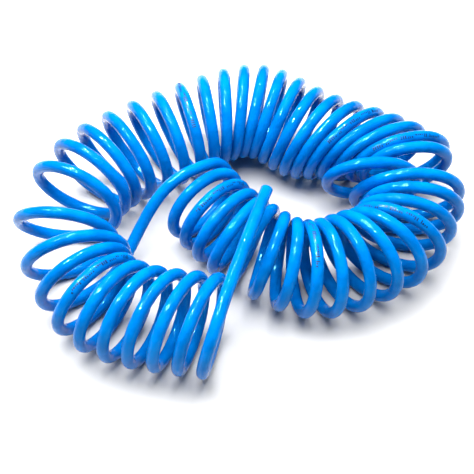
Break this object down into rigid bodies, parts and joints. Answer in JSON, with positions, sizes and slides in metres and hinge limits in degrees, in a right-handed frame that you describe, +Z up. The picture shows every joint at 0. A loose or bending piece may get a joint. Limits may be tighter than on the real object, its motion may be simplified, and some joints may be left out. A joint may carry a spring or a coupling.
{
  "type": "coiled air hose",
  "caption": "Recoil air hose: glossy blue polyurethane tube wound into a spring-like coil, bent round into a loop, with bare square-cut ends.",
  "frame": {"origin": "middle of the coiled hose's footprint, on the surface it lies on", "axes": "+X to the right along the longest side of the loop, +Y towards the back of the loop, +Z up"},
  "size_m": [0.2999, 0.2687, 0.078],
  "materials": {
    "hose": "glossy, slightly translucent polyurethane"
  },
  "bodies": {
    "root": {"coil_section_01": "hose", "coil_section_02": "hose", "coil_section_03": "hose", "coil_section_04": "hose", "coil_section_05": "hose", "coil_section_06": "hose", "coil_section_07": "hose", "coil_section_08": "hose", "coil_section_09": "hose", "coil_section_10": "hose", "coil_section_11": "hose", "coil_section_12": "hose", "coil_section_13": "hose", "coil_section_14": "hose", "coil_section_15": "hose", "coil_section_16": "hose", "coil_section_17": "hose", "coil_section_18": "hose", "near_tail": "hose", "near_bare_end": "hose", "far_tail": "hose", "far_bare_end": "hose"}
  },
  "joints": []
}
